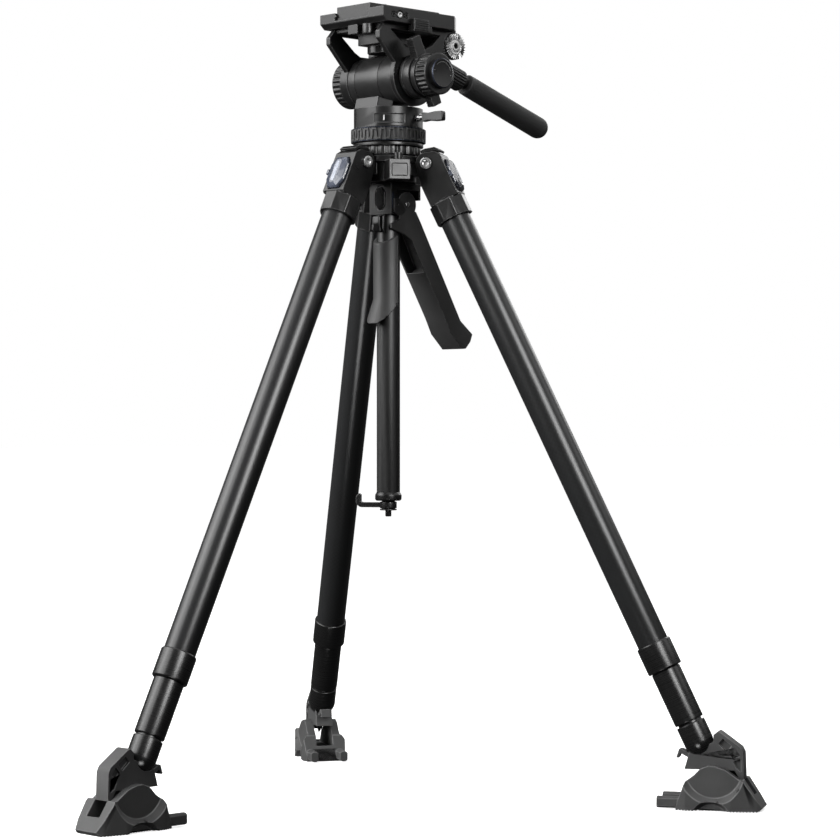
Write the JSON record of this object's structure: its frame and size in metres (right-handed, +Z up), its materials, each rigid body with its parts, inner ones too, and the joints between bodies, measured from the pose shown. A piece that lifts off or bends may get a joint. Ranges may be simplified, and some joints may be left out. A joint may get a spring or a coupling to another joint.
{
  "type": "camera tripod with fluid head",
  "caption": "Retracted carbon-leg video tripod with rubber feet, a central squeeze lever and column, and a fluid pan and tilt head with a pan bar and sliding camera plate.",
  "frame": {"origin": "on the floor, under the stand's vertical axis", "axes": "+Z up, lens direction -Y, operator and pan bar +Y, tilt axis along X"},
  "size_m": [0.6976, 0.6959, 0.8255],
  "materials": {
    "dark_metal": "satin black anodised",
    "satin_metal": "satin grey anodised",
    "carbon": "glossy carbon tube",
    "steel": "brushed",
    "rubber": "matt",
    "knob_plastic": "moulded, satin",
    "clear_key": "translucent grey-blue"
  },
  "bodies": {
    "stand": {"hub": "dark_metal", "lobe_fittings": "dark_metal", "pivot_bolts": "steel", "head_seat": "dark_metal", "head_base": "dark_metal", "clutch_housing": "dark_metal", "palm_grip": "rubber", "column_tube": "carbon", "column_end": "dark_metal"},
    "front_leg": {"front_casting": "dark_metal", "front_upper_tube": "carbon", "front_upper_collar": "dark_metal"},
    "front_key": {"front_release_key": "clear_key"},
    "front_tab": {"front_angle_tab": "dark_metal"},
    "front_middle": {"front_middle_section": "dark_metal"},
    "front_lower": {"front_lower_section": "dark_metal"},
    "front_foot": {"front_foot_shoe": "rubber", "front_foot_strap": "rubber"},
    "right_leg": {"right_casting": "dark_metal", "right_upper_tube": "carbon", "right_upper_collar": "dark_metal"},
    "right_key": {"right_release_key": "clear_key"},
    "right_tab": {"right_angle_tab": "dark_metal"},
    "right_middle": {"right_middle_section": "dark_metal"},
    "right_lower": {"right_lower_section": "dark_metal"},
    "right_foot": {"right_foot_shoe": "rubber", "right_foot_strap": "rubber"},
    "left_leg": {"left_casting": "dark_metal", "left_upper_tube": "carbon", "left_upper_collar": "dark_metal"},
    "left_key": {"left_release_key": "clear_key"},
    "left_tab": {"left_angle_tab": "dark_metal"},
    "left_middle": {"left_middle_section": "dark_metal"},
    "left_lower": {"left_lower_section": "dark_metal"},
    "left_foot": {"left_foot_shoe": "rubber", "left_foot_strap": "rubber"},
    "fluted_ring": {"fluted_ring": "satin_metal"},
    "head_lock_ring": {"head_lock_ring": "rubber"},
    "clutch_lever": {"clutch_lever": "dark_metal"},
    "lever_latch": {"lever_latch": "satin_metal"},
    "weight_hook": {"weight_hook": "dark_metal"},
    "pan": {"pan_base": "dark_metal", "tilt_housing": "dark_metal", "damping_housing": "dark_metal"},
    "pan_lock": {"pan_lock_lever": "dark_metal"},
    "counterbalance_dial": {"counterbalance_dial": "knob_plastic"},
    "tilt_lock": {"tilt_lock_lever": "knob_plastic"},
    "drag_dial": {"drag_dial": "knob_plastic"},
    "tilt": {"tilt_cage": "dark_metal", "platform": "dark_metal", "rosettes": "steel"},
    "camera_plate": {"camera_plate": "dark_metal"},
    "camera_screw": {"camera_screw": "steel"},
    "plate_lock": {"plate_lock_lever": "knob_plastic"},
    "plate_release": {"plate_release_button": "knob_plastic"},
    "bar": {"bar_clamp": "dark_metal", "bar_tube": "dark_metal"},
    "bar_knob": {"bar_clamp_knob": "knob_plastic"},
    "bar_collar": {"bar_twist_collar": "dark_metal"},
    "bar_grip": {"bar_grip": "rubber"}
  },
  "joints": [
    {"name": "front_leg_spread", "type": "hinge", "parent": "stand", "child": "front_leg", "pos_m": [0, -0.045, 0.6574], "axis": [1, 0, 0], "range_deg": [0, 24]},
    {"name": "front_key_press", "type": "slide", "parent": "front_leg", "child": "front_key", "axis": [0, 0.9025, -0.4308], "range_m": [0, 0.003], "stiffness_N_per_m": 600, "springref_m": -0.002},
    {"name": "front_tab_slide", "type": "slide", "parent": "front_leg", "child": "front_tab", "axis": [0, -0.9025, 0.4308], "range_m": [0, 0.005]},
    {"name": "front_middle_extend", "type": "slide", "parent": "front_leg", "child": "front_middle", "axis": [0, -0.4308, -0.9025], "range_m": [0, 0.4]},
    {"name": "front_lower_extend", "type": "slide", "parent": "front_middle", "child": "front_lower", "axis": [0, -0.4308, -0.9025], "range_m": [0, 0.4]},
    {"name": "front_ankle", "type": "hinge", "parent": "front_lower", "child": "front_foot", "pos_m": [0, -0.32655, 0.06755], "axis": [-1, 0, 0], "range_deg": [-25, 30]},
    {"name": "right_leg_spread", "type": "hinge", "parent": "stand", "child": "right_leg", "pos_m": [0.03897, 0.0225, 0.6574], "axis": [-0.5, 0.866, 0], "range_deg": [0, 24]},
    {"name": "right_key_press", "type": "slide", "parent": "right_leg", "child": "right_key", "axis": [-0.7816, -0.4512, -0.4308], "range_m": [0, 0.003], "stiffness_N_per_m": 600, "springref_m": -0.002},
    {"name": "right_tab_slide", "type": "slide", "parent": "right_leg", "child": "right_tab", "axis": [0.7816, 0.4512, 0.4308], "range_m": [0, 0.005]},
    {"name": "right_middle_extend", "type": "slide", "parent": "right_leg", "child": "right_middle", "axis": [0.3731, 0.2154, -0.9025], "range_m": [0, 0.4]},
    {"name": "right_lower_extend", "type": "slide", "parent": "right_middle", "child": "right_lower", "axis": [0.3731, 0.2154, -0.9025], "range_m": [0, 0.4]},
    {"name": "right_ankle", "type": "hinge", "parent": "right_lower", "child": "right_foot", "pos_m": [0.2828, 0.16327, 0.06755], "axis": [0.5, -0.866, 0], "range_deg": [-25, 30]},
    {"name": "left_leg_spread", "type": "hinge", "parent": "stand", "child": "left_leg", "pos_m": [-0.03897, 0.0225, 0.6574], "axis": [-0.5, -0.866, 0], "range_deg": [0, 24]},
    {"name": "left_key_press", "type": "slide", "parent": "left_leg", "child": "left_key", "axis": [0.7816, -0.4512, -0.4308], "range_m": [0, 0.003], "stiffness_N_per_m": 600, "springref_m": -0.002},
    {"name": "left_tab_slide", "type": "slide", "parent": "left_leg", "child": "left_tab", "axis": [-0.7816, 0.4512, 0.4308], "range_m": [0, 0.005]},
    {"name": "left_middle_extend", "type": "slide", "parent": "left_leg", "child": "left_middle", "axis": [-0.3731, 0.2154, -0.9025], "range_m": [0, 0.4]},
    {"name": "left_lower_extend", "type": "slide", "parent": "left_middle", "child": "left_lower", "axis": [-0.3731, 0.2154, -0.9025], "range_m": [0, 0.4]},
    {"name": "left_ankle", "type": "hinge", "parent": "left_lower", "child": "left_foot", "pos_m": [-0.2828, 0.16327, 0.06755], "axis": [0.5, 0.866, 0], "range_deg": [-25, 30]},
    {"name": "fluted_ring_turn", "type": "hinge", "parent": "stand", "child": "fluted_ring", "pos_m": [0, 0, 0.671], "axis": [0, 0, 1], "range_deg": [0, 60]},
    {"name": "head_lock_ring_turn", "type": "hinge", "parent": "stand", "child": "head_lock_ring", "pos_m": [0, 0, 0.687], "axis": [0, 0, 1], "range_deg": [0, 60]},
    {"name": "clutch_squeeze", "type": "hinge", "parent": "stand", "child": "clutch_lever", "pos_m": [0, 0.013, 0.617], "axis": [-1, 0, 0], "range_deg": [0, 17.5], "stiffness_Nm_per_rad": 1.5, "springref_deg": -20.05},
    {"name": "latch_turn", "type": "hinge", "parent": "stand", "child": "lever_latch", "pos_m": [0.0178, -0.005, 0.616], "axis": [-1, 0, 0], "range_deg": [0, 35]},
    {"name": "weight_hook_swivel", "type": "hinge", "parent": "stand", "child": "weight_hook", "pos_m": [0, 0, 0.3035], "axis": [0, 0, 1], "continuous": true},
    {"name": "pan", "type": "hinge", "parent": "stand", "child": "pan", "pos_m": [0, 0, 0.7], "axis": [0, 0, 1], "continuous": true},
    {"name": "pan_lock_turn", "type": "hinge", "parent": "pan", "child": "pan_lock", "pos_m": [0.04432, 0.00781, 0.705], "axis": [0.9848, 0.1736, 0], "range_deg": [0, 90]},
    {"name": "counterbalance_turn", "type": "hinge", "parent": "pan", "child": "counterbalance_dial", "pos_m": [-0.054, 0, 0.7465], "axis": [1, 0, 0], "range_deg": [0, 270]},
    {"name": "tilt_lock_turn", "type": "hinge", "parent": "pan", "child": "tilt_lock", "pos_m": [0.057, 0, 0.7465], "axis": [1, 0, 0], "range_deg": [0, 60]},
    {"name": "drag_turn", "type": "hinge", "parent": "pan", "child": "drag_dial", "pos_m": [0.07, 0, 0.7465], "axis": [1, 0, 0], "range_deg": [0, 300]},
    {"name": "tilt", "type": "hinge", "parent": "pan", "child": "tilt", "pos_m": [0, 0, 0.7465], "axis": [1, 0, 0], "range_deg": [-60, 75]},
    {"name": "plate_slide", "type": "slide", "parent": "tilt", "child": "camera_plate", "axis": [0, 1, 0], "range_m": [-0.025, 0.025]},
    {"name": "camera_screw_turn", "type": "hinge", "parent": "camera_plate", "child": "camera_screw", "pos_m": [0, -0.006, 0.81], "axis": [0, 0, 1], "continuous": true},
    {"name": "plate_lock_swing", "type": "hinge", "parent": "tilt", "child": "plate_lock", "pos_m": [0.045, 0.012, 0.797], "axis": [0, 0, 1], "range_deg": [0, 35]},
    {"name": "plate_release_press", "type": "slide", "parent": "tilt", "child": "plate_release", "axis": [1, 0, 0], "range_m": [0, 0.002], "stiffness_N_per_m": 400, "springref_m": -0.002},
    {"name": "bar_angle", "type": "hinge", "parent": "tilt", "child": "bar", "pos_m": [-0.05, 0.058, 0.784], "axis": [1, 0, 0], "range_deg": [-12, 60]},
    {"name": "bar_knob_turn", "type": "hinge", "parent": "bar", "child": "bar_knob", "pos_m": [-0.07, 0.058, 0.784], "axis": [1, 0, 0], "continuous": true},
    {"name": "bar_collar_turn", "type": "hinge", "parent": "bar", "child": "bar_collar", "pos_m": [-0.059, 0.14819, 0.77217], "axis": [0, 0.9494, -0.314], "range_deg": [0, 90]},
    {"name": "bar_extend", "type": "slide", "parent": "bar", "child": "bar_grip", "axis": [0, 0.9494, -0.314], "range_m": [0, 0.05]}
  ]
}
